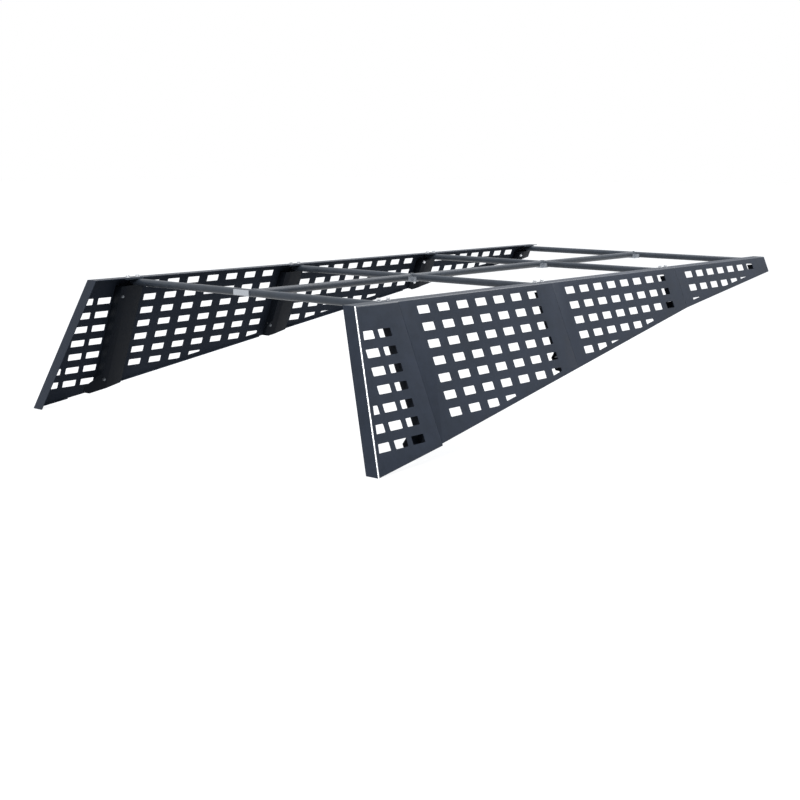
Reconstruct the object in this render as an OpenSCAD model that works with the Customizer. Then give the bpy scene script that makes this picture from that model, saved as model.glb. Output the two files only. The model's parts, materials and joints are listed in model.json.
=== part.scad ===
// Flat platform roof rack: two splayed, perforated sheet sides under a level open tube frame.
// X runs from the tall tail end to the low nose end, Y to the left, Z up. Millimetres.

/* [Platform] */
// Width across the outer edges of the level top
deck_w = 1400; // [1200:10:1600]
// Length of the level top, tail corner to nose corner
deck_l = 2850; // [2780:10:3200]
// Angle by which each side leans out from upright, in degrees
splay = 22.8; // [5:0.2:30]

/* [Side sheets] */
// Thickness of the side sheets
sheet_t = 2.5; // [1.5:0.5:4]
// Depth of a side at the tail, measured down its slope
tail_depth = 548; // [460:2:620]
// How far the foot of the tail edge stands behind its top
tail_rake = 126; // [0:2:200]
// Depth of a side at the third post
waist_depth = 183; // [150:1:240]
// Depth of a side at the nose
nose_depth = 75; // [60:1:140]
// Extra depth of the tail sheet where it meets its neighbour
tail_lap = 7; // [0:1:15]
// Width of the folded top flange
top_flange = 55; // [35:1:90]
// Width of the folded tail flange
tail_flange = 55; // [30:1:90]
// Width of the folded bottom return
bottom_return = 14; // [8:1:30]
// Length of the tail sheet's bottom return
tail_return = 142; // [60:1:190]
// Gap between neighbouring sheets
seam_gap = 1; // [0.5:0.5:4]

/* [Perforations] */
// Length of one slot
slot_l = 60; // [40:1:76]
// Height of one slot
slot_h = 28.5; // [15:0.5:44]
// Corner radius of a slot
slot_r = 3; // [1:0.5:7]
// Spacing of the slot rows
row_pitch = 60; // [50:1:80]
// Depth of the first row's middle
first_row = 38; // [30:1:50]
// Most rows of slots on a sheet
most_rows = 7; // [4:1:7]
// Column spacing on the tail sheet
tail_pitch = 82; // [78:1:110]
// Slot columns on the tail sheet
tail_columns = 3; // [1:1:3]
// Distance from the tail sheet's last slot column forward to its post station
tail_trail = 105; // [95:1:125]
// Nearest spacing of the slot columns ahead of the first post
slot_pitch = 100; // [88:1:140]
// Distance from the first post station forward to the next slot column
lead_1 = 113; // [95:1:140]
// Distance from the second post station forward to the next slot column
lead_2 = 107; // [95:1:140]
// Distance from the third post station forward to the next slot column
lead_3 = 105; // [95:1:140]
// Distance from the rear sheet's last slot column forward to its post station
trail_2 = 136; // [110:1:160]
// Distance from the front sheet's last slot column forward to its post station
trail_3 = 129; // [110:1:160]
// Distance from the nose sheet's last slot column forward to its post station
trail_4 = 124; // [110:1:160]
// Sheet left between the slots and the slanted edges
edge_margin = 21; // [10:1:60]
// Least height left of a slot that the bottom edge cuts off
least_wedge = 4; // [3:1:20]
// Least length left of a slot that the tail edge cuts off
least_sliver = 10; // [3:1:30]

/* [Posts] */
// Distance of the first post station from the tail corner of the top
post_1 = 204; // [190:1:260]
// Distance of the second post station from the tail corner of the top
post_2 = 1075; // [1000:1:1150]
// Distance of the third post station from the tail corner of the top
post_3 = 1996; // [1900:1:2060]
// Distance of the last post station back from the nose corner
nose_post = 47; // [44:1:70]
// Sheet thickness of the posts
post_t = 3; // [2:0.5:4]
// Stand-off of a post's back from the side sheet
post_depth = 38; // [26:1:50]
// Reach of a post behind its station
post_rear = 68; // [66:1:71]
// Reach of a post ahead of its station
post_front = 46; // [30:1:46]
// Fold line of a post, behind its station
post_fold = 36; // [25:1:45]
// Depth that the post's slanted face falls back towards the sheet
post_fall = 16; // [4:1:20]
// Width of the lips that lie on the sheet
post_lip = 18; // [10:1:24]
// Reach of the first foot behind its station
foot_1 = 141; // [110:1:150]
// Reach of the second foot behind its station
foot_2 = 92; // [90:1:110]
// Reach of the third foot behind its station
foot_3 = 110; // [100:1:120]
// Reach of the third foot ahead of its station
foot_3_front = 80; // [60:1:90]
// Height of a foot beside its post
foot_h = 75; // [70:1:90]
// Angle at which a foot's upper edge falls away from its post
foot_fall = 25; // [10:1:30]
// Length of a foot's cut corner
foot_cut_l = 30; // [10:1:40]
// Height of a foot's cut corner
foot_cut_h = 14; // [6:1:20]
// Height of the third foot's front end
front_foot_h = 45; // [30:1:60]
// Radius of the fixing hole in a foot, for an 8 mm bolt
bolt_r = 4.5; // [3:0.25:6]
// Distance of the first post's hole behind its station
hole_1 = 56; // [48:1:57]
// Distance of the second post's hole behind its station
hole_2 = 78; // [77:1:82]
// Distance of the third post's hole behind its station
hole_3 = 83; // [77:1:90]
// Distance of the nose post's hole behind its station
hole_4 = 57; // [48:1:57]
// Height of the first post's hole above its lower edge
hole_up_1 = 49; // [30:1:70]
// Height of the second post's hole above its lower edge
hole_up_2 = 58; // [30:1:62]
// Height of the third post's hole above its lower edge
hole_up_3 = 42; // [20:1:60]
// Height of the nose post's hole above its lower edge
hole_up_4 = 30; // [15:1:35]
// Height of the first foot's bearing point above its lower edge
bearing_up = 22; // [10:1:30]

/* [Top frame] */
// Diameter of the crossbars
tube_d = 28; // [26:1:40]
// Diameter of the centre bar
spine_d = 28; // [18:1:28]
// Wall of the tubes
tube_wall = 2; // [1:0.25:4]
// Distance from the top's edge to a crossbar's end
bar_inset = 9; // [6:1:30]
// Thickness of the end tabs that carry a crossbar
tab_t = 4; // [2:0.5:6]
// Length of an end tab along the rack
tab_l = 84; // [60:1:110]
// Width of an end tab across the rack
tab_w = 46; // [25:1:50]
// Distance of an end tab's middle behind its crossbar
tab_back = 26; // [0:1:27]
// Length of the end bracket across the rack
bracket_l = 82; // [45:1:100]
// Distance of the end bracket's middle from the rack's middle
bracket_off = 44; // [0:1:60]
// Height of the end bracket
bracket_h = 20; // [12:1:24]
// Thickness of the brackets past the tube
bracket_t = 4; // [2:0.5:6]
// Length of a cradle along the rack
cradle_l = 44; // [36:1:60]
// Width of a cradle across the rack
cradle_w = 38; // [34:1:50]
// Distance of a cradle's upper edge below the tubes' middle
cradle_cut = 3; // [1:0.5:6]

/* [Hidden] */

$fn = 48;
right = -1;
left = 1;
// Running gap between pieces that meet on round faces
fit = 0.1;
// How far one welded piece sinks into the next
weld = 0.5;
// Gap between a post's top and the crossbar over it
post_gap = 0.5;
// How far a piece runs past the faces that trim it
over = 3;

stations = [post_1, post_2, post_3, deck_l - nose_post];
seams = [post_1, post_2, post_3];
leads = [lead_1, lead_2, lead_3];
trails = [trail_2, trail_3, trail_4];
foot_rears = [foot_1, foot_2, foot_3, post_rear];
foot_fronts = [post_front, post_front, foot_3_front, post_front];
holes = [hole_1, hole_2, hole_3, hole_4];
hole_ups = [hole_up_1, hole_up_2, hole_up_3, hole_up_4];
tube_r = tube_d / 2;
spine_r = spine_d / 2;
bar_z = -sheet_t - tab_t - tube_r + weld;
post_top_z = bar_z - tube_r - post_gap;
tail_foot_x = -tail_rake;

// Depth of the straight bottom edge, from the tail foot to the waist and from there to the nose
function depth_at(x) =
    x < post_3
    ? tail_depth + (waist_depth - tail_depth) * (x - tail_foot_x) / (post_3 - tail_foot_x)
    : waist_depth + (nose_depth - waist_depth) * (x - post_3) / (deck_l - post_3);

// The posts end level with the sheets' lower edge, so their back ends at a smaller depth
mount_n = sheet_t + post_depth;
function edge_at(x) = depth_at(x) - mount_n * tan(splay);

// The origin is on the inboard face of the first right foot, behind its hole
mount_x = post_1 - (foot_1 + hole_1) / 2;
mount_s = edge_at(mount_x) - bearing_up;
origin_y = -deck_w / 2 - mount_s * sin(splay) + mount_n * cos(splay);
origin_z = -mount_s * cos(splay) - mount_n * sin(splay);

module in_row_frame() {
    translate([-mount_x, -origin_y, -origin_z]) children();
}

// A side's frame, level: the right side's outer top edge is on Y = -deck_w / 2
module level_frame(side) {
    in_row_frame()
    mirror([0, side == left ? 1 : 0, 0])
    children();
}

// Leans out from the level frame: Y inwards from the outer face, Z up the slope
module slope_frame() {
    translate([0, -deck_w / 2, 0]) rotate([-splay, 0, 0]) children();
}

// A flat plate in the plane of the sheet, from distance n inwards
module slope_plate(n, t) {
    translate([0, n + t, 0]) rotate([90, 0, 0]) linear_extrude(t) children();
}

// A slab along an edge of the outer face, level across the rack, with the sheet's inside to its left
module fold_slab(from, to, width, past) {
    a = [from[0], -from[1] * cos(splay)];
    b = [to[0], -to[1] * cos(splay)];
    run = norm(b - a);
    turn = atan2(b[1] - a[1], b[0] - a[0]);
    y = -deck_w / 2 - from[1] * sin(splay);
    rate = (from[1] - to[1]) * sin(splay) / run;
    ends = [-past[0], run + past[1]];
    translate([a[0], 0, a[1]])
    rotate([0, -turn, 0])
    translate([0, 0, -over])
    linear_extrude(over + sheet_t)
    polygon([
        [ends[0], y + rate * ends[0] - over], [ends[1], y + rate * ends[1] - over],
        [ends[1], y + rate * ends[1] + width], [ends[0], y + rate * ends[0] + width]
    ]);
}

// One slot with rounded corners
module slot() {
    x = slot_l / 2 - slot_r;
    y = slot_h / 2 - slot_r;
    steps = 3;
    polygon([
        for (q = [0:3], i = [0:steps])
            let (a = 90 * q + 90 * i / steps,
                 sx = (q == 0 || q == 3) ? 1 : -1,
                 sy = (q < 2) ? 1 : -1)
            [sx * x + slot_r * cos(a), sy * y + slot_r * sin(a)]
    ]);
}

// Depth of a sheet at its front end
function end_depth(x1, tail) = depth_at(x1) + (tail ? tail_lap : 0);

// Outline of a side sheet between two places along the rack, grown on every side
module sheet_outline(x0, x1, tail, grow) {
    polygon([
        [x0 - grow, grow], [x1 + grow, grow], [x1 + grow, -end_depth(x1, tail) - grow],
        [(tail ? tail_foot_x : x0) - grow, -(tail ? tail_depth : depth_at(x0)) - grow]
    ]);
}

// What trims a side sheet: its side view carried across the rack, and its outer face
module sheet_envelope(x0, x1, tail) {
    foot = tail ? [tail_foot_x, tail_depth] : [x0, depth_at(x0)];
    rotate([90, 0, 0])
    linear_extrude(deck_w)
    polygon([
        [x0, 0], [x1, 0], [x1, -end_depth(x1, tail) * cos(splay)], [foot[0], -foot[1] * cos(splay)]
    ]);
}

// Area of the slots: it keeps off the slanted edges
module slot_area(x0, x1, tail) {
    foot = tail ? [tail_foot_x + edge_margin, tail_depth] : [x0, depth_at(x0)];
    polygon([
        [x0 + (tail ? edge_margin : 0), 0], [x1, 0],
        [x1, -end_depth(x1, tail) + edge_margin], [foot[0], -foot[1] + edge_margin]
    ]);
}

// Slots of one sheet, cut off along lines that follow its slanted edges
module slots(x0, x1, tail, first_x, pitch, columns) {
    first = tail ? 1 : 0;
    intersection() {
        slot_area(x0, x1, tail);
        for (c = [0:columns - 1], r = [first:first + most_rows - 1]) {
            x = first_x + pitch * c;
            s = first_row + row_pitch * r;
            wedge = depth_at(x) - edge_margin - (s - slot_h / 2);
            sliver = x + slot_l / 2 - (tail ? tail_foot_x * s / tail_depth + edge_margin : x0);
            if (wedge > least_wedge && sliver > least_sliver)
                translate([x, -s]) slot();
        }
    }
}

// A folded side sheet; its bottom return starts and stops at distances from the sheet's two ends
module skin(side, x0, x1, tail, nose, return_ends, first_x, pitch, columns) {
    a = x0 + (tail ? 0 : seam_gap / 2);
    b = x1 - (nose ? 0 : seam_gap / 2);
    foot = tail ? [tail_foot_x, tail_depth] : [a, depth_at(a)];
    toe = [b, end_depth(b, tail)];
    color("#3f454f")
    level_frame(side)
    intersection() {
        sheet_envelope(a, b, tail);
        slope_frame()
        translate([foot[0] - over, 0, -tail_depth * 2])
        cube([toe[0] - foot[0] + 2 * over, deck_w, tail_depth * 3]);
        union() {
            slope_frame()
            slope_plate(-over, sheet_t + over)
            difference() {
                sheet_outline(a, b, tail, over);
                slots(x0, x1, tail, first_x, pitch, columns);
            }
            fold_slab([b, 0], [a, 0], top_flange, [over, over]);
            fold_slab(foot, toe, bottom_return, -return_ends);
            if (tail) fold_slab([0, 0], foot, tail_flange, [over, over]);
        }
    }
}

// Cross-section of a post: lips on the sheet, two webs, and a back folded along one line
module post_section() {
    n0 = sheet_t;
    n1 = sheet_t + post_depth;
    n2 = n1 - post_fall;
    fall_rate = post_fall / (post_front + post_fold);
    polygon([
        [-post_rear + post_lip, n0], [-post_rear, n0], [-post_rear, n1], [-post_fold, n1],
        [post_front, n2], [post_front, n0], [post_front - post_lip, n0],
        [post_front - post_lip, n0 + post_t], [post_front - post_t, n0 + post_t],
        [post_front - post_t, n2 - post_t + fall_rate * post_t], [-post_fold, n1 - post_t],
        [-post_rear + post_t, n1 - post_t], [-post_rear + post_t, n0 + post_t],
        [-post_rear + post_lip, n0 + post_t]
    ]);
}

// What trims a post: its side view carried across the rack, level with the sheet's lower edge
module post_envelope(x0, x1) {
    turn = [for (x = [post_3]) if (x > x0 && x < x1) [x, -depth_at(x) * cos(splay)]];
    rotate([90, 0, 0])
    linear_extrude(deck_w)
    polygon(concat(
        [[x1, post_top_z], [x0, post_top_z], [x0, -depth_at(x0) * cos(splay)]],
        turn,
        [[x1, -depth_at(x1) * cos(splay)]]
    ));
}

// The plate that widens the lower end of a post towards the tail, in line with its back
module rear_foot(i) {
    x = stations[i] - foot_rears[i];
    beside = stations[i] - post_rear;
    fold = stations[i] - post_fold;
    slope_plate(mount_n - post_t, post_t)
    polygon([
        [x, -edge_at(x) + foot_cut_h], [x + foot_cut_l, -edge_at(x + foot_cut_l)],
        [x + foot_cut_l, -edge_at(x) - post_depth], [fold, -edge_at(x) - post_depth],
        [fold, -edge_at(fold) + foot_h], [beside, -edge_at(beside) + foot_h],
        [x, -edge_at(x) + foot_h - (beside - x) * tan(foot_fall)]
    ]);
}

// The plate that widens the lower end of a post towards the nose, in line with its slanted face
module front_foot(i) {
    n1 = sheet_t + post_depth;
    n2 = n1 - post_fall * (foot_fronts[i] + post_fold) / (post_front + post_fold);
    x0 = stations[i] + post_front - post_t;
    x1 = stations[i] + foot_fronts[i];
    intersection() {
        translate([stations[i], 0, -tail_depth])
        linear_extrude(tail_depth)
        polygon([
            [-post_fold, n1], [foot_fronts[i], n2],
            [foot_fronts[i], n2 - post_t], [-post_fold, n1 - post_t]
        ]);
        slope_plate(0, mount_n)
        polygon([
            [x0, -depth_at(x0) + front_foot_h], [x0, -depth_at(x0) - over],
            [x1, -depth_at(x0) - over], [x1, -depth_at(x1) + front_foot_h]
        ]);
    }
}

// A post at a station, with the feet that widen its lower end
module post(side, i) {
    hole_x = stations[i] - holes[i];
    color("#20242b")
    level_frame(side)
    intersection() {
        post_envelope(stations[i] - foot_rears[i], stations[i] + foot_fronts[i]);
        slope_frame()
        difference() {
            union() {
                translate([stations[i], 0, -tail_depth])
                linear_extrude(tail_depth)
                post_section();
                if (foot_rears[i] > post_rear) rear_foot(i);
                if (foot_fronts[i] > post_front) front_foot(i);
            }
            translate([hole_x, mount_n - 2 * post_t, -edge_at(hole_x) + hole_ups[i]])
            rotate([-90, 0, 0])
            cylinder(r = bolt_r, h = 3 * post_t);
        }
    }
}

// A cylinder on a crossbar's axis
module cross_rod(station, r, length) {
    translate([station, -length / 2, bar_z]) rotate([-90, 0, 0]) cylinder(r = r, h = length);
}

// A crossbar: a tube with a welded tab under the top flange at each end
module crossbar(station) {
    length = deck_w - 2 * bar_inset;
    color("#6b717a")
    in_row_frame()
    difference() {
        union() {
            cross_rod(station, tube_r, length);
            for (y = [-length / 2, length / 2 - tab_w])
                translate([station - tab_back - tab_l / 2, y, -sheet_t - tab_t])
                cube([tab_l, tab_w, tab_t]);
        }
        cross_rod(station, tube_r - tube_wall, length + 2 * weld);
    }
}

// One length of the centre bar, coped to the crossbars at its ends
module spine(from, to) {
    color("#6b717a")
    in_row_frame()
    difference() {
        translate([from, 0, bar_z]) rotate([0, 90, 0]) cylinder(r = spine_r, h = to - from);
        translate([from - weld, 0, bar_z])
        rotate([0, 90, 0])
        cylinder(r = spine_r - tube_wall, h = to - from + 2 * weld);
        for (x = [from, to])
            cross_rod(x, tube_r + fit, 2 * tube_d);
    }
}

// A bright plate saddled on the first crossbar's tail side, beside its joint with the centre bar
module end_bracket(station) {
    color("#b9bec4")
    in_row_frame()
    difference() {
        translate([station - tube_r - bracket_t, bracket_off - bracket_l / 2, bar_z - bracket_h / 2])
        cube([bracket_t + tube_r / 2, bracket_l, bracket_h]);
        cross_rod(station, tube_r + fit, 2 * bracket_off + 2 * bracket_l);
    }
}

// A bright cradle under the joint of the centre bar and a crossbar
module cradle(station) {
    color("#b9bec4")
    in_row_frame()
    difference() {
        translate([station - cradle_l / 2, -cradle_w / 2, bar_z - tube_r - bracket_t])
        cube([cradle_l, cradle_w, bracket_t + tube_r - cradle_cut]);
        cross_rod(station, tube_r + fit, 2 * cradle_w);
        translate([station - cradle_l, 0, bar_z])
        rotate([0, 90, 0])
        cylinder(r = spine_r + fit, h = 2 * cradle_l);
    }
}

module tail_skin(side) {
    skin(side, 0, seams[0], true, false, [0, seams[0] - tail_foot_x - tail_return],
        seams[0] - tail_trail - (tail_columns - 1) * tail_pitch, tail_pitch, tail_columns);
}

// The sheets ahead of the first post spread as many slot columns as fit between two margins
module later_skin(side, i) {
    nose = i == len(seams) - 1;
    x0 = seams[i];
    x1 = nose ? deck_l : seams[i + 1];
    clear_front = foot_fronts[i] + 2 * seam_gap;
    clear_rear = x1 - stations[i + 1] + foot_rears[i + 1] + 2 * seam_gap;
    run = stations[i + 1] - x0 - leads[i] - trails[i];
    steps = max(1, round(run / slot_pitch));
    skin(side, x0, x1, false, nose, [clear_front, clear_rear], x0 + leads[i], run / steps, steps + 1);
}

module skin_right_tail() { tail_skin(right); }
module skin_right_rear() { later_skin(right, 0); }
module skin_right_front() { later_skin(right, 1); }
module skin_right_nose() { later_skin(right, 2); }
module skin_left_tail() { tail_skin(left); }
module skin_left_rear() { later_skin(left, 0); }
module skin_left_front() { later_skin(left, 1); }
module skin_left_nose() { later_skin(left, 2); }

module post_right_1() { post(right, 0); }
module post_right_2() { post(right, 1); }
module post_right_3() { post(right, 2); }
module post_right_4() { post(right, 3); }
module post_left_1() { post(left, 0); }
module post_left_2() { post(left, 1); }
module post_left_3() { post(left, 2); }
module post_left_4() { post(left, 3); }

module crossbar_1() { crossbar(stations[0]); }
module crossbar_2() { crossbar(stations[1]); }
module crossbar_3() { crossbar(stations[2]); }
module crossbar_4() { crossbar(stations[3]); }
module spine_1() { spine(stations[0], stations[1]); }
module spine_2() { spine(stations[1], stations[2]); }
module spine_3() { spine(stations[2], stations[3]); }
module spine_bracket_1() { end_bracket(stations[0]); }
module spine_bracket_2() { cradle(stations[1]); }
module spine_bracket_3() { cradle(stations[2]); }
module spine_bracket_4() { cradle(stations[3]); }

skin_right_tail();
skin_right_rear();
skin_right_front();
skin_right_nose();
skin_left_tail();
skin_left_rear();
skin_left_front();
skin_left_nose();
post_right_1();
post_right_2();
post_right_3();
post_right_4();
post_left_1();
post_left_2();
post_left_3();
post_left_4();
crossbar_1();
crossbar_2();
crossbar_3();
crossbar_4();
spine_1();
spine_2();
spine_3();
spine_bracket_1();
spine_bracket_2();
spine_bracket_3();
spine_bracket_4();
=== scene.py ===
"""Looks of a flat platform roof rack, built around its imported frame.

Metres, in the frame's axes."""

import json
import math

import bpy
from mathutils import Euler, Matrix, Vector

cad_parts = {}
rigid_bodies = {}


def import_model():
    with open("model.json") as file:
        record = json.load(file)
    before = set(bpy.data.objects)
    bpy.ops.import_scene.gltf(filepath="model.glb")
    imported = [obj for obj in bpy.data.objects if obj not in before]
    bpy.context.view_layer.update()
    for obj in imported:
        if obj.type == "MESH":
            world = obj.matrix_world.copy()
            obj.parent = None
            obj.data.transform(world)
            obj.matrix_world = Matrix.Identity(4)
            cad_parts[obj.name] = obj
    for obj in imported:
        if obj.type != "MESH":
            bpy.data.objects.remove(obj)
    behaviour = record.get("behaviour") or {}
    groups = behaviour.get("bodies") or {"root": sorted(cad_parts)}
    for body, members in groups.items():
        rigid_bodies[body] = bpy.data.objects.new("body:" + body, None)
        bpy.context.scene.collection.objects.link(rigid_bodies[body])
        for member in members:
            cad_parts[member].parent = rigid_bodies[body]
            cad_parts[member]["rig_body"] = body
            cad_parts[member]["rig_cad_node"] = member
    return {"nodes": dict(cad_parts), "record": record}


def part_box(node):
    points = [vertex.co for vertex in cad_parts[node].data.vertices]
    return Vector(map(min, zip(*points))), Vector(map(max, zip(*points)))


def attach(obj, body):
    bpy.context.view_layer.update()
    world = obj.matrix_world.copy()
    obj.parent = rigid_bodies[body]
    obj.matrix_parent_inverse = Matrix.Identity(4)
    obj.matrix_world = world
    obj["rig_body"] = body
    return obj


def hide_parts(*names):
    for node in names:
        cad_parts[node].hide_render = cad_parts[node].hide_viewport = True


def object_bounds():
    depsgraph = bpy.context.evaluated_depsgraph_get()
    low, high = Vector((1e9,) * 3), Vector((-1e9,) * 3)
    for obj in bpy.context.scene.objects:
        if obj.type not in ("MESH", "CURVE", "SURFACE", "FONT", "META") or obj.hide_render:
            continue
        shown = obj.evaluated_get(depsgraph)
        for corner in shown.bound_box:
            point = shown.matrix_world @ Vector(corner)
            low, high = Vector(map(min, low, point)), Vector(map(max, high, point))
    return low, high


bl_info = {
    "name": "Platform roof rack",
    "version": (1, 0, 0),
    "blender": (4, 5, 0),
    "location": "3D View > Sidebar > Roof rack",
    "description": "Dresses the frame of a slotted platform roof rack and sets its stage",
    "category": "Add Mesh",
}

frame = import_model()
NODES = frame["nodes"]
CAD_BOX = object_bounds()

MM = 0.001
SIDES = {"right": -1, "left": 1}
SHEETS = ["tail", "rear", "front", "nose"]
STATIONS = [1, 2, 3, 4]

# The foot's bearing face leans with the side sheets
foot_axis = Vector(frame["record"]["mounts"][0]["axis"])
LEAN = math.atan2(-foot_axis.z, foot_axis.y)
# A crossbar's end tabs reach this far ahead of its middle
TAB_AHEAD = 16 * MM
STATION_X = {i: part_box(f"crossbar_{i}")[1].x - TAB_AHEAD for i in STATIONS}
TUBE_R = 14 * MM
# A crossbar ends this far short of the line where the two faces of the top fold would meet
BAR_INSET = 9 * MM
DECK_Y = {side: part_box("crossbar_2")[0 if sign < 0 else 1].y + sign * BAR_INSET
          for side, sign in SIDES.items()}
DECK_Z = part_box("skin_right_rear")[1].z
BAR_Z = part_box("crossbar_2")[0].z + TUBE_R
MID_Y = (DECK_Y["right"] + DECK_Y["left"]) / 2

# Material slots of a sheet, after the outer coat in the first one
# The last slot holds the painted highlight on the tall corner's bend
INNER_SLOT, BEND_SLOT, GLINT_SLOT = 1, 2, 3
# Two directions with a cosine above this count as one
SAME_WAY = 0.99
# A sheet's short edges are corners of slots, and a post's are corners of its foot
SHEET_SHORT = 10 * MM
POST_SHORT = 20 * MM
# Cosine of a folded flange's face to the sheet's: a slot's wall is under it, a flat face over it
FLANGE_COSINE = (0.05, 0.95)
# The fold along the bottom and the inside of each fold, as shares of the top fold's radius
BOTTOM_FOLD = 0.45
INSIDE_FOLD = 0.5
# A face that looks further down than this belongs to the bottom return
DOWNWARD = -0.5
# Cosine of a rounded bend's faces to the outer face
BEND_COSINE = (0.2, 0.985)
# A face whose cosine is within this of the level flange's is part of that flange
LEVEL_MARGIN = 0.01
# A bend that looks further to the tail than this is the tall corner
TAILWARD = -0.2
# Flat strips across a rounded fold, and across a broken edge of a bolt
FOLD_STEPS = 3
CHAMFER_STEPS = 2
# Lines inside an area that is flatter than this are dissolved
FLAT_ANGLE = math.radians(0.5)
# Faces that meet at less than this are shaded as one curve
FOLD_SMOOTH = math.radians(35)
SMALL_SMOOTH = math.radians(30)

# A post's back stands this far in from the sheet's outer face
POST_BACK = 40.5 * MM
# The post's fold is this far behind its station, and ahead of it the back falls away 16 mm in 82
POST_FOLD = 36 * MM
FALL_RATE = 16 / 82
# Bolts on each post's back, in millimetres ahead of its station and down the slope
POST_BOLTS = {
    1: [(-56, 63), (-56, 434.9)],
    2: [(-78, 279.8)],
    3: [(-57, 30), (-83, 138.3), (60, 152)],
    4: [(-57, 41.4)],
}
# Posts of the stations before this one carry the darker bolts, painted shade
BRIGHT_FROM = 3
# Bolts on the top flange: their stations, millimetres ahead of a station, and in from the fold
TOP_STATIONS = STATIONS[:3]
TOP_BOLTS = (-49, -3)
FROM_EDGE = 42 * MM
TOP_HEX = 13 * MM
TOP_HEIGHT = 9 * MM
TOP_WASHER = 18 * MM
WASHER_T = 1.6 * MM
# A shank runs up into its washer, so that no gap shows between them
SHANK_TOP = 0.5 * MM
HEX_SIDES = 6
WASHER_SIDES = 32
SHANK_SIDES = 24
HEAD_CHAMFER = 0.8 * MM
WASHER_CHAMFER = 0.3 * MM
SHANK_CHAMFER = 0.4 * MM

# The angles at the joints: a leg's length and thickness, their height, and how far their middle
# hangs under the tubes' middle
ANGLE_LEG = 26 * MM
ANGLE_T = 3 * MM
ANGLE_H = 19 * MM
ANGLE_DROP = 5 * MM

# A weld bead is a ring of drops, each with its middle this share of its radius off the crossbar
WELD_DROPS = 32
DROP_R = 3.2 * MM
DROP_STAND = 0.6
# The centre bar starts at the first crossbar and ends at the last, so these sides have no bead
BARE_ENDS = ((1, -1), (4, 1))

FLOOR_SIZE = 80
# The floor glows, and this share of the light on it is thrown back, so that the shadow stays
FLOOR_LIT = 0.3
# Light on the open floor, as a share of full white
FLOOR_LIGHT = 0.4
# How far up two directions look, and the sky's strength there as a share of its setting
SKY_HEIGHTS = (0.1, 0.9)
SKY_SHARES = (0.3, 2.6)
# The lamps' places from the middle of the rack, and their sizes
OVERHEAD_AT, OVERHEAD_SIZE = (1.6, -0.4, 3.2), (4, 3)
STRIP_AT, STRIP_SIZE = (-5, -2.2, 3.4), (0.25, 1.8)
# The camera, as solved from the slots, corners and seams that the photo shows
CAMERA_AT = (-3.1591, -2.7589, 0.9153)
CAMERA_TURN = (79.553, -0.25, -51.548)
CAMERA_LENS = 59.866
CAMERA_SENSOR = 36
CAMERA_SHIFT = (-0.09265, 0.00258)
CAMERA_REACH = 200


def on_side(side, x, depth, stand):
    """A place on a side.

    x runs along the rack, depth down the slope from the top edge, and stand inwards from the
    outer face."""
    sign = SIDES[side]
    y = DECK_Y[side] + sign * (depth * math.sin(LEAN) - stand * math.cos(LEAN))
    return Vector((x, y, DECK_Z - depth * math.cos(LEAN) - stand * math.sin(LEAN)))


def outward(side):
    """Direction that a side's outer face looks in."""
    return Vector((0, SIDES[side] * math.cos(LEAN), math.sin(LEAN)))


def linear(hex_colour):
    """Linear RGBA of an sRGB hex colour."""
    parts = [int(hex_colour[i:i + 2], 16) / 255 for i in (1, 3, 5)]
    return [c / 12.92 if c <= 0.04045 else ((c + 0.055) / 1.055) ** 2.4 for c in parts] + [1]


def tone(name, description, hex_colour):
    """A colour that a user would change, set from its sRGB hex."""
    return bpy.props.FloatVectorProperty(
        name=name, description=description, default=linear(hex_colour), size=4, min=0, max=1,
        subtype="COLOR")


def add(tree, kind, inputs=None, **settings):
    """Adds a node, sets its settings, and sets or links its inputs."""
    node = tree.nodes.new(kind)
    for name, value in settings.items():
        setattr(node, name, value)
    for name, value in (inputs or {}).items():
        if isinstance(value, bpy.types.NodeSocket):
            tree.links.new(value, node.inputs[name])
        else:
            node.inputs[name].default_value = value
    return node


def new_material(name):
    """A material with an empty node tree."""
    material = bpy.data.materials.new(name)
    material.use_nodes = True
    material.node_tree.nodes.clear()
    return material


def powder_coat(name, dark, light, roughness, specular, peel=0.12):
    """Polyester powder coat, sprayed and baked: an even satin film with a fine orange peel.

    The eye sees one dark cool tone that drifts a little over each piece, because the film's
    thickness does, and soft broken highlights from the peel."""
    material = new_material(name)
    tree = material.node_tree
    place = add(tree, "ShaderNodeTexCoord").outputs["Object"]
    # Film thickness drifts over about 300 mm
    drift = add(tree, "ShaderNodeTexNoise", {
        "Vector": place, "Scale": 1 / 0.3, "Detail": 2, "Roughness": 0.5})
    # Handling haze and dust in patches of about 40 mm
    haze = add(tree, "ShaderNodeTexNoise", {
        "Vector": place, "Scale": 1 / 0.04, "Detail": 4, "Roughness": 0.6})
    tone = add(tree, "ShaderNodeMath", {0: drift.outputs["Fac"], 1: haze.outputs["Fac"]},
               operation="ADD")
    share = add(tree, "ShaderNodeMapRange", {
        "Value": tone.outputs[0], "From Min": 0.75, "From Max": 1.25})
    colour = add(tree, "ShaderNodeMix", {
        "Factor": share.outputs["Result"], "A": dark, "B": light},
        data_type="RGBA")
    # Where the haze lies, the film is less glossy
    gloss = add(tree, "ShaderNodeMapRange", {
        "Value": haze.outputs["Fac"], "From Min": 0.3, "From Max": 0.7,
        "To Min": roughness - 0.05, "To Max": roughness + 0.06})
    # Real peel is 1 to 2 mm across; drawn at 7 mm, the finest that shows from the camera
    grain = add(tree, "ShaderNodeTexNoise", {
        "Vector": place, "Scale": 1 / 0.007, "Detail": 1, "Roughness": 0.5})
    bump = add(tree, "ShaderNodeBump", {
        "Height": grain.outputs["Fac"], "Strength": peel, "Distance": 0.4 * MM})
    shader = add(tree, "ShaderNodeBsdfPrincipled", {
        "Base Color": colour.outputs["Result"], "Roughness": gloss.outputs["Result"],
        "Normal": bump.outputs["Normal"], "IOR": 1.5, "Specular IOR Level": specular})
    add(tree, "ShaderNodeOutputMaterial", {"Surface": shader.outputs["BSDF"]})
    return material


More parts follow.
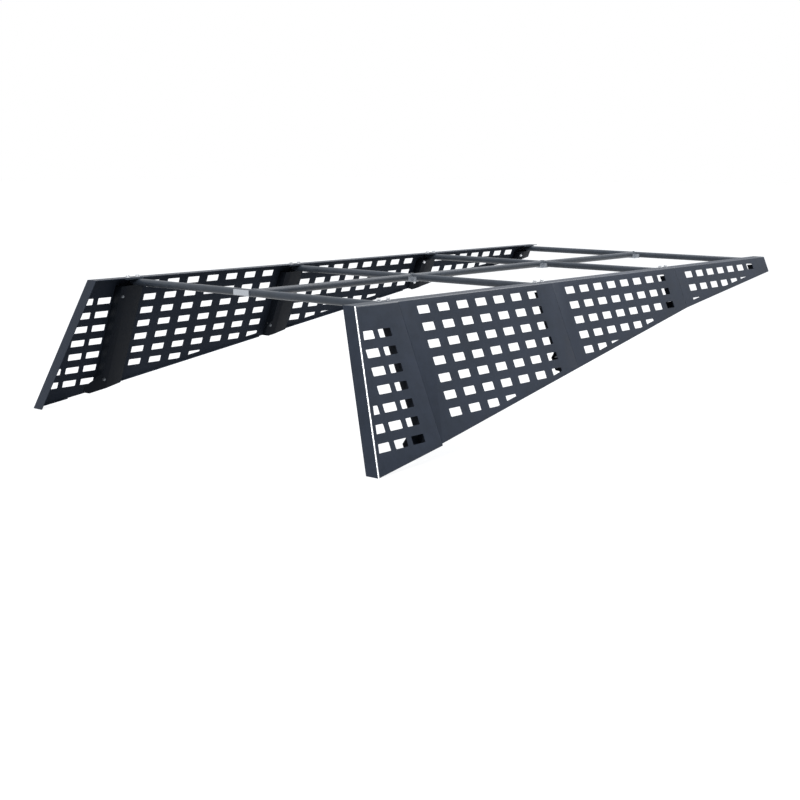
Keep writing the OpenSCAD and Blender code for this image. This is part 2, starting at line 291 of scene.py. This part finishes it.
def zinc_plate(name, dark, light, roughness):
    """Bright zinc plate on steel: silver with a faint blue cast, clouded where it was handled."""
    material = new_material(name)
    tree = material.node_tree
    place = add(tree, "ShaderNodeTexCoord").outputs["Object"]
    # Passivation clouds of about 8 mm
    cloud = add(tree, "ShaderNodeTexNoise", {
        "Vector": place, "Scale": 1 / 0.008, "Detail": 3, "Roughness": 0.6})
    colour = add(tree, "ShaderNodeMix", {
        "Factor": cloud.outputs["Fac"], "A": dark, "B": light},
        data_type="RGBA")
    gloss = add(tree, "ShaderNodeMapRange", {
        "Value": cloud.outputs["Fac"], "To Min": roughness - 0.08, "To Max": roughness + 0.1})
    shader = add(tree, "ShaderNodeBsdfPrincipled", {
        "Base Color": colour.outputs["Result"], "Metallic": 1.0,
        "Roughness": gloss.outputs["Result"]})
    add(tree, "ShaderNodeOutputMaterial", {"Surface": shader.outputs["BSDF"]})
    return material


def seen_rays(tree):
    """One for rays that are seen, straight, mirrored or through glass, and nought for the rest."""
    path = add(tree, "ShaderNodeLightPath")
    seen = add(tree, "ShaderNodeMath", {
        0: path.outputs["Is Camera Ray"], 1: path.outputs["Is Glossy Ray"]},
        operation="MAXIMUM")
    seen = add(tree, "ShaderNodeMath", {
        0: seen.outputs[0], 1: path.outputs["Is Transmission Ray"]},
        operation="MAXIMUM")
    return seen.outputs[0]


def studio_white(name):
    """Matt painted studio floor.

    The eye sees near-white, also in reflections, with the rack's soft shadow on it. The light
    that it throws back up at the rack is that of a grey floor."""
    material = new_material(name)
    tree = material.node_tree
    seen = seen_rays(tree)
    paint = add(tree, "ShaderNodeBsdfDiffuse", {"Color": linear("#75787d")})
    soft = add(tree, "ShaderNodeBsdfDiffuse", {"Color": [FLOOR_LIT, FLOOR_LIT, FLOOR_LIT, 1]})
    glow = add(tree, "ShaderNodeEmission", {
        "Color": [1, 1, 1, 1], "Strength": 1 - FLOOR_LIT * FLOOR_LIGHT})
    white = add(tree, "ShaderNodeAddShader", {
        0: soft.outputs["BSDF"], 1: glow.outputs["Emission"]})
    mix = add(tree, "ShaderNodeMixShader", {
        0: seen, 1: paint.outputs["BSDF"], 2: white.outputs["Shader"]})
    add(tree, "ShaderNodeOutputMaterial", {"Surface": mix.outputs["Shader"]})
    return material


def only(obj):
    """Selects one object alone and makes it active."""
    bpy.ops.object.select_all(action="DESELECT")
    obj.select_set(True)
    bpy.context.view_layer.objects.active = obj


def copy_of(node, name):
    """A free copy of a frame node, welded into one clean surface."""
    only(NODES[node])
    bpy.ops.object.duplicate()
    piece = bpy.context.view_layer.objects.active
    bpy.ops.object.parent_clear(type="CLEAR_KEEP_TRANSFORM")
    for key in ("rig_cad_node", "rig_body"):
        if key in piece:
            del piece[key]
    piece.name = name
    piece.data.name = name
    bpy.ops.object.mode_set(mode="EDIT")
    bpy.ops.mesh.select_all(action="SELECT")
    bpy.ops.mesh.remove_doubles(threshold=0.01 * MM)
    bpy.ops.mesh.customdata_custom_splitnormals_clear()
    bpy.ops.object.mode_set(mode="OBJECT")
    return piece


def join_flats(piece):
    """Dissolves the lines inside flat areas."""
    only(piece)
    bpy.ops.object.mode_set(mode="EDIT")
    bpy.ops.mesh.select_all(action="SELECT")
    bpy.ops.mesh.dissolve_limited(angle_limit=FLAT_ANGLE)
    bpy.ops.object.mode_set(mode="OBJECT")


def edge_faces(mesh):
    """The faces at each edge, each by its normal and its centre."""
    sides = {}
    for face in mesh.polygons:
        for key in face.edge_keys:
            sides.setdefault(key, []).append((face.normal.copy(), face.center.copy()))
    return sides


def round_folds(piece, radius, weight_of):
    """Rounds each edge to the share of the radius that weight_of gives it."""
    mesh = piece.data
    sides = edge_faces(mesh)
    weights = mesh.attributes.new("bevel_weight_edge", "FLOAT", "EDGE")
    for edge in mesh.edges:
        a, b = (mesh.vertices[i].co for i in edge.vertices)
        faces = sides.get(tuple(sorted(edge.vertices)), [])
        if len(faces) == 2:
            weights.data[edge.index].value = weight_of(a, b, faces)
    only(piece)
    modifier = piece.modifiers.new("Folds", "BEVEL")
    modifier.limit_method = "WEIGHT"
    modifier.width = radius
    modifier.segments = FOLD_STEPS
    bpy.ops.object.modifier_apply(modifier=modifier.name)
    bpy.ops.object.shade_smooth_by_angle(angle=FOLD_SMOOTH)


def convex(faces):
    """Whether two faces meet in an outside corner."""
    (n1, c1), (n2, c2) = faces
    return (c2 - c1).dot(n1) < 0


def finish_piece(piece, material, slot, *nodes):
    """Gives a piece its material and its place in the frame."""
    piece.data.materials.clear()
    piece.data.materials.append(material)
    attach(piece, "root")
    if nodes:
        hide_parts(*nodes)


def block(low, high):
    """A rectangular block between two corners."""
    low, high = Vector(low), Vector(high)
    bpy.ops.object.select_all(action="DESELECT")
    bpy.ops.mesh.primitive_cube_add(size=1, location=(low + high) / 2, scale=high - low)
    part = bpy.context.view_layer.objects.active
    bpy.ops.object.transform_apply()
    return part


def turned(vertices, radius, low, high, chamfer):
    """A round bar or prism on the Z axis between two heights, with broken edges."""
    bpy.ops.object.select_all(action="DESELECT")
    bpy.ops.mesh.primitive_cylinder_add(
        vertices=vertices, radius=radius, depth=high - low, location=(0, 0, (low + high) / 2))
    part = bpy.context.view_layer.objects.active
    bpy.ops.object.transform_apply()
    bpy.ops.object.mode_set(mode="EDIT")
    bpy.ops.mesh.select_all(action="SELECT")
    bpy.ops.mesh.bevel(offset=chamfer, segments=CHAMFER_STEPS, affect="EDGES")
    bpy.ops.object.mode_set(mode="OBJECT")
    return part


def joined(parts):
    """Joins parts into the first one, with smooth curved faces."""
    bpy.ops.object.select_all(action="DESELECT")
    for part in parts:
        part.select_set(True)
    bpy.context.view_layer.objects.active = parts[0]
    bpy.ops.object.join()
    bpy.ops.object.shade_smooth_by_angle(angle=SMALL_SMOOTH)
    return parts[0]


def hexagon_bolt(across, height, washer_d, shank_d=0, reach=0):
    """A bolt's head and washer on the Z axis, seated at the origin, with a shank if it has one."""
    parts = [
        turned(HEX_SIDES, across / math.sqrt(3), WASHER_T, WASHER_T + height, HEAD_CHAMFER),
        turned(WASHER_SIDES, washer_d / 2, 0, WASHER_T, WASHER_CHAMFER)]
    if reach:
        parts.append(turned(SHANK_SIDES, shank_d / 2, -reach, SHANK_TOP, SHANK_CHAMFER))
    return joined(parts)


def bolt_at(pattern, name, place, axis, material):
    """A copy of the bolt pattern, with its seat at a place and its head along an axis."""
    only(pattern)
    bpy.ops.object.duplicate()
    bolt = bpy.context.view_layer.objects.active
    bolt.name = name
    bolt.data.name = name
    turn = axis.to_track_quat("Z", "Y").to_matrix().to_4x4()
    bolt.matrix_world = Matrix.Translation(place) @ turn
    bpy.ops.object.transform_apply()
    finish_piece(bolt, material, "bright_zinc")


class RackSheets(bpy.types.PropertyGroup):
    bend: bpy.props.FloatProperty(
        name="Bend radius", description="Outside radius of the folds in the side sheets",
        default=5 * MM, min=2.5 * MM, max=8 * MM, unit="LENGTH")
    post_bend: bpy.props.FloatProperty(
        name="Post bend radius", description="Outside radius of the folds in the posts",
        default=4 * MM, min=1 * MM, max=6 * MM, unit="LENGTH")


class RackFinishes(bpy.types.PropertyGroup):
    sheet_dark: tone("Sheets, dark", "Darkest tone of the sheets' outer faces", "#353c47")
    sheet_light: tone("Sheets, light", "Lightest tone of the sheets' outer faces", "#3e4552")
    # The inner faces' tones are a little darker than the outer ones: painted shade
    inside_dark: tone("Inside, dark", "Darkest tone of the sheets' inner faces", "#333943")
    inside_light: tone("Inside, light", "Lightest tone of the sheets' inner faces", "#3b414c")
    # The posts' tones are darker than the sheets': painted shade
    post_dark: tone("Posts, dark", "Darkest tone of the posts", "#1a1e24")
    post_light: tone("Posts, light", "Lightest tone of the posts", "#22262d")
    tube_dark: tone("Tubes, dark", "Darkest tone of the tubes", "#3e444c")
    tube_light: tone("Tubes, light", "Lightest tone of the tubes", "#4b525b")
    plate_dark: tone("Brackets, dark", "Darkest tone of the plated brackets", "#a9adb3")
    plate_light: tone("Brackets, light", "Lightest tone of the plated brackets", "#c3c7cc")


class RackBolts(bpy.types.PropertyGroup):
    across: bpy.props.FloatProperty(
        name="Across flats", description="Width of a post bolt's hexagon head",
        default=10 * MM, min=8 * MM, max=19 * MM, unit="LENGTH")
    washer: bpy.props.FloatProperty(
        name="Washer diameter", description="Diameter of the washer under a post bolt's head",
        default=13 * MM, min=10 * MM, max=26 * MM, unit="LENGTH")
    height: bpy.props.FloatProperty(
        name="Head height", description="Height of a post bolt's head over its washer",
        default=5 * MM, min=3 * MM, max=10 * MM, unit="LENGTH")
    shank: bpy.props.FloatProperty(
        name="Shank diameter", description="Diameter of a post bolt's shank",
        default=6 * MM, min=5 * MM, max=9 * MM, unit="LENGTH")
    reach: bpy.props.FloatProperty(
        name="Shank length", description="Length of a post bolt's shank under its washer",
        default=21 * MM, min=14 * MM, max=30 * MM, unit="LENGTH")


class RackStage(bpy.types.PropertyGroup):
    overhead: bpy.props.FloatProperty(
        name="Overhead light", description="Power of the large soft light over the rack",
        default=85, min=0, subtype="POWER")
    strip: bpy.props.FloatProperty(
        name="Strip light", description="Power of the narrow light high behind the tail",
        default=85, min=0, subtype="POWER")
    sky: bpy.props.FloatProperty(
        name="Sky", description="Strength of the even light from all round",
        default=0.4, min=0, max=2)


class RACK_OT_sheets(bpy.types.Operator):
    """Makes the eight folded side sheets, with rounded bends"""
    bl_idname = "rack.sheets"
    bl_label = "Side sheets"

    def execute(self, context):
        finishes = context.scene.rack_finishes
        outer = powder_coat(
            "satin_powder_coat_slate", finishes.sheet_dark, finishes.sheet_light, 0.45, 0.16)
        # The inside has a flatter, less glossy film, and its tone is a little darker than the
        # outside's: painted shade
        inner = powder_coat(
            "satin_powder_coat_inside_shaded", finishes.inside_dark, finishes.inside_light, 0.6, 0.08)
        # The film flows thin and glossier round a bend, and its tone there is a little lighter, a
        # painted highlight, so the bends carry a narrow bright line
        fold = powder_coat(
            "satin_powder_coat_bend", linear("#38404d"), linear("#434c5a"), 0.3, 0.6, 0.04)
        # Painted highlight: the tall corner's bend at the tail gets bright metal, a white line
        # from top to bottom that stands in for a glint of light on the bend
        painted_glint = zinc_plate("painted_glint_corner_steel", linear("#dfe2e5"), linear("#f2f3f4"), 0.28)
        for side in SIDES:
            face_out = outward(side)

            def weight(a, b, faces):
                along = [n.dot(face_out) for n, _ in faces]
                if (a - b).length < SHEET_SHORT:
                    return 0
                for one, other in (along, along[::-1]):
                    if (abs(one) > SAME_WAY
                            and FLANGE_COSINE[0] < abs(other) < FLANGE_COSINE[1]):
                        if one > 0:
                            at_bottom = min(n.z for n, _ in faces) < DOWNWARD
                            return BOTTOM_FOLD if at_bottom else 1
                        return 0 if convex(faces) else INSIDE_FOLD
                return 0

            for sheet in SHEETS:
                node = f"skin_{side}_{sheet}"
                piece = copy_of(node, f"sheet_{side}_{sheet}")
                join_flats(piece)
                round_folds(piece, context.scene.rack_sheets.bend, weight)
                finish_piece(piece, outer, "skin_coat", node)
                for material in (inner, fold, painted_glint):
                    piece.data.materials.append(material)
                for face in piece.data.polygons:
                    facing = face.normal.dot(face_out)
                    is_level = abs(facing - math.sin(LEAN)) <= LEVEL_MARGIN
                    if facing < -SAME_WAY:
                        face.material_index = INNER_SLOT
                    elif BEND_COSINE[0] < facing < BEND_COSINE[1] and not is_level:
                        # The tall corner's bend takes the painted highlight, the other bends the
                        # glossier coat
                        is_corner = face.normal.x < TAILWARD
                        face.material_index = GLINT_SLOT if is_corner else BEND_SLOT
        return {"FINISHED"}


class RACK_OT_posts(bpy.types.Operator):
    """Makes the eight folded posts with their feet"""
    bl_idname = "rack.posts"
    bl_label = "Posts"

    def execute(self, context):
        finishes = context.scene.rack_finishes
        # The posts' coat is much darker than the sheets', painted shade for the shaded inside of
        # the rack
        coat = powder_coat(
            "satin_powder_coat_post_shaded", finishes.post_dark, finishes.post_light, 0.5, 0.05)
        for side in SIDES:
            slope = Vector((0, -SIDES[side] * math.sin(LEAN), math.cos(LEAN)))

            def weight(a, b, faces):
                run = b - a
                is_upright = abs(run.normalized().dot(slope)) > SAME_WAY
                return 1 if is_upright and run.length > POST_SHORT and convex(faces) else 0

            for i in STATIONS:
                node = f"post_{side}_{i}"
                piece = copy_of(node, f"folded_post_{side}_{i}")
                join_flats(piece)
                round_folds(piece, context.scene.rack_sheets.post_bend, weight)
                finish_piece(piece, coat, "post_coat", node)
        return {"FINISHED"}


class RACK_OT_tubes(bpy.types.Operator):
    """Makes the crossbars and the centre bar, smooth round tubes"""
    bl_idname = "rack.tubes"
    bl_label = "Tubes"

    def execute(self, context):
        finishes = context.scene.rack_finishes
        coat = powder_coat(
            "satin_powder_coat_tube", finishes.tube_dark, finishes.tube_light, 0.32, 0.3, 0.06)
        names = {f"crossbar_{i}": f"cross_tube_{i}" for i in STATIONS}
        names.update({f"spine_{i}": f"centre_tube_{i}" for i in STATIONS[:-1]})
        for node, name in names.items():
            piece = copy_of(node, name)
            bpy.ops.object.shade_smooth_by_angle(angle=FOLD_SMOOTH)
            finish_piece(piece, coat, "bar_coat", node)
        return {"FINISHED"}


class RACK_OT_brackets(bpy.types.Operator):
    """Makes the bright brackets and angles at the centre bar's joints"""
    bl_idname = "rack.brackets"
    bl_label = "Brackets"

    def execute(self, context):
        finishes = context.scene.rack_finishes
        zinc = zinc_plate(
            "bright_zinc_plate", finishes.plate_dark, finishes.plate_light, 0.38)
        for i in STATIONS:
            piece = copy_of(f"spine_bracket_{i}", f"joint_bracket_{i}")
            bpy.ops.object.shade_smooth_by_angle(angle=SMALL_SMOOTH)
            finish_piece(piece, zinc, "bright_zinc", f"spine_bracket_{i}")
        # An angle in the corner of the centre bar and each of the last three crossbars
        reach = TUBE_R + ANGLE_LEG
        low, high = (BAR_Z - ANGLE_DROP + way * ANGLE_H / 2 for way in (-1, 1))
        near_y = MID_Y - TUBE_R
        for i in STATIONS[1:]:
            near_x = STATION_X[i] - TUBE_R
            angle = joined([
                block((near_x - ANGLE_T, MID_Y - reach, low), (near_x, near_y, high)),
                block((STATION_X[i] - reach, near_y - ANGLE_T, low), (near_x, near_y, high))])
            angle.name = angle.data.name = f"joint_angle_{i}"
            finish_piece(angle, zinc, "bright_zinc")
        return {"FINISHED"}


class RACK_OT_welds(bpy.types.Operator):
    """Lays the weld beads where the centre bar meets the crossbars"""
    bl_idname = "rack.welds"
    bl_label = "Weld beads"

    def execute(self, context):
        # Over the ripples of a weld the film lies thin with a coarser peel, and its tone lighter
        # than the tubes' is a painted highlight for the light the ripples catch
        coat = powder_coat(
            "satin_powder_coat_weld", linear("#50575f"), linear("#626970"), 0.3, 0.3, 0.2)
        bpy.ops.object.select_all(action="DESELECT")
        bpy.ops.mesh.primitive_uv_sphere_add(
            segments=12, ring_count=8, radius=DROP_R, location=(0, 0, 0))
        pattern = bpy.context.view_layer.objects.active
        for i in STATIONS:
            for way in (-1, 1):
                if (i, way) in BARE_ENDS:
                    continue
                drops = []
                for k in range(WELD_DROPS):
                    turn = 2 * math.pi * k / WELD_DROPS
                    only(pattern)
                    bpy.ops.object.duplicate()
                    drop = bpy.context.view_layer.objects.active
                    # Where two equal tubes meet, the seam reaches out at the sides, not on top
                    reach = TUBE_R * abs(math.cos(turn)) + DROP_STAND * DROP_R
                    drop.location = (
                        STATION_X[i] + way * reach,
                        MID_Y + TUBE_R * math.cos(turn),
                        BAR_Z + TUBE_R * math.sin(turn))
                    drops.append(drop)
                ring = joined(drops)
                ring.name = ring.data.name = f"weld_bead_{i}_{'tail' if way < 0 else 'nose'}"
                only(ring)
                bpy.ops.object.transform_apply()
                finish_piece(ring, coat, "bar_coat")
        bpy.data.objects.remove(pattern)
        return {"FINISHED"}


class RACK_OT_bolts(bpy.types.Operator):
    """Makes the hexagon bolts and washers on the top flanges and the posts"""
    bl_idname = "rack.bolts"
    bl_label = "Bolts"

    def execute(self, context):
        size = context.scene.rack_bolts
        post_bolt = hexagon_bolt(size.across, size.height, size.washer, size.shank, size.reach)
        # No shank stands out under the top flange, so its bolts have a head and washer only
        top_bolt = hexagon_bolt(TOP_HEX, TOP_HEIGHT, TOP_WASHER)
        zinc = zinc_plate("bright_zinc_fastener", linear("#dcdfe2"), linear("#f0f1f3"), 0.3)
        # The bolts low in the shade near the tail get a dark grey zinc: painted shade
        zinc_in_shade = zinc_plate("shaded_zinc_fastener", linear("#585c61"), linear("#6e7277"), 0.45)
        for side, sign in SIDES.items():
            for i in TOP_STATIONS:
                for k, ahead in enumerate(TOP_BOLTS, 1):
                    place = Vector((
                        STATION_X[i] + ahead * MM, DECK_Y[side] - sign * FROM_EDGE, DECK_Z))
                    bolt_at(top_bolt, f"top_bolt_{side}_{i}_{k}", place, Vector((0, 0, 1)), zinc)
            for i, marks in POST_BOLTS.items():
                for k, (ahead, depth) in enumerate(marks, 1):
                    # Ahead of the fold the back falls away, and the bolt leans with it
                    fall = max(0, ahead * MM + POST_FOLD) * FALL_RATE
                    place = on_side(side, STATION_X[i] + ahead * MM, depth * MM, POST_BACK - fall)
                    along = Vector((FALL_RATE if fall else 0, 0, 0))
                    bolt_at(post_bolt, f"post_bolt_{side}_{i}_{k}", place,
                            (along - outward(side)).normalized(),
                            zinc_in_shade if i < BRIGHT_FROM else zinc)
        bpy.data.objects.remove(top_bolt)
        bpy.data.objects.remove(post_bolt)
        return {"FINISHED"}


class RACK_OT_stage(bpy.types.Operator):
    """Sets the pale floor, the world, the lights and the camera"""
    bl_idname = "rack.stage"
    bl_label = "Stage"

    def execute(self, context):
        stage = context.scene.rack_stage
        low, high = CAD_BOX
        middle = (low + high) / 2
        bpy.ops.object.select_all(action="DESELECT")
        bpy.ops.mesh.primitive_plane_add(size=FLOOR_SIZE, location=(middle.x, middle.y, low.z))
        floor = bpy.context.view_layer.objects.active
        floor.name = "studio_floor"
        floor.data.materials.append(studio_white("studio_floor_paint"))

        world = bpy.data.worlds.new("studio_world")
        world.use_nodes = True
        context.scene.world = world
        tree = world.node_tree
        tree.nodes.clear()
        seen = seen_rays(tree)
        # The light falls mostly from overhead, as from a bright ceiling
        place = add(tree, "ShaderNodeTexCoord").outputs["Generated"]
        height = add(tree, "ShaderNodeSeparateXYZ", {"Vector": place}).outputs["Z"]
        share = add(tree, "ShaderNodeMapRange", {
            "Value": height, "From Min": SKY_HEIGHTS[0], "From Max": SKY_HEIGHTS[1],
            "To Min": stage.sky * SKY_SHARES[0], "To Max": stage.sky * SKY_SHARES[1]})
        even = add(tree, "ShaderNodeBackground", {
            "Color": linear("#dfe8f4"), "Strength": share.outputs["Result"]})
        white = add(tree, "ShaderNodeBackground", {"Color": [1, 1, 1, 1], "Strength": 1.0})
        mix = add(tree, "ShaderNodeMixShader", {
            0: seen, 1: even.outputs[0], 2: white.outputs[0]})
        add(tree, "ShaderNodeOutputWorld", {"Surface": mix.outputs[0]})

        for name, place, size, energy in (
                ("overhead_light", OVERHEAD_AT, OVERHEAD_SIZE, stage.overhead),
                ("strip_light", STRIP_AT, STRIP_SIZE, stage.strip)):
            bpy.ops.object.select_all(action="DESELECT")
            bpy.ops.object.light_add(type="AREA", location=middle + Vector(place))
            light = bpy.context.view_layer.objects.active
            light.name = name
            light.data.shape = "RECTANGLE"
            light.data.size, light.data.size_y = size
            light.data.energy = energy
            to_middle = middle - light.location
            light.rotation_euler = to_middle.to_track_quat("-Z", "Y").to_euler()

        camera_data = bpy.data.cameras.new("camera")
        camera = bpy.data.objects.new("camera", camera_data)
        context.scene.collection.objects.link(camera)
        camera.location = CAMERA_AT
        camera.rotation_euler = Euler([math.radians(a) for a in CAMERA_TURN])
        camera_data.lens = CAMERA_LENS
        camera_data.sensor_width = CAMERA_SENSOR
        camera_data.shift_x, camera_data.shift_y = CAMERA_SHIFT
        camera_data.clip_end = CAMERA_REACH
        context.scene.camera = camera
        context.scene.view_settings.view_transform = "Standard"
        return {"FINISHED"}


class RACK_PT_panel(bpy.types.Panel):
    """Lists the steps and sizes of the rack"""
    bl_idname = "RACK_PT_panel"
    bl_label = "Roof rack"
    bl_space_type = "VIEW_3D"
    bl_region_type = "UI"
    bl_category = "Roof rack"

    def draw(self, context):
        for name in GROUPS:
            group = getattr(context.scene, name)
            box = self.layout.box()
            for key in group.__annotations__:
                box.prop(group, key)
        for step in OPERATORS:
            self.layout.operator(step.bl_idname)


GROUPS = {
    "rack_sheets": RackSheets, "rack_finishes": RackFinishes, "rack_bolts": RackBolts,
    "rack_stage": RackStage,
}
OPERATORS = [
    RACK_OT_sheets, RACK_OT_posts, RACK_OT_tubes, RACK_OT_brackets, RACK_OT_welds, RACK_OT_bolts,
    RACK_OT_stage,
]


def register():
    for item in [*GROUPS.values(), *OPERATORS, RACK_PT_panel]:
        bpy.utils.register_class(item)
    for name, group in GROUPS.items():
        setattr(bpy.types.Scene, name, bpy.props.PointerProperty(type=group))


def unregister():
    for name in GROUPS:
        delattr(bpy.types.Scene, name)
    for item in reversed([*GROUPS.values(), *OPERATORS, RACK_PT_panel]):
        bpy.utils.unregister_class(item)


def main():
    """Builds the whole scene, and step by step."""
    register()
    bpy.ops.rack.sheets()
    bpy.ops.rack.posts()
    bpy.ops.rack.tubes()
    bpy.ops.rack.brackets()
    bpy.ops.rack.welds()
    bpy.ops.rack.bolts()
    bpy.ops.rack.stage()


if __name__ == "__main__":
    main()
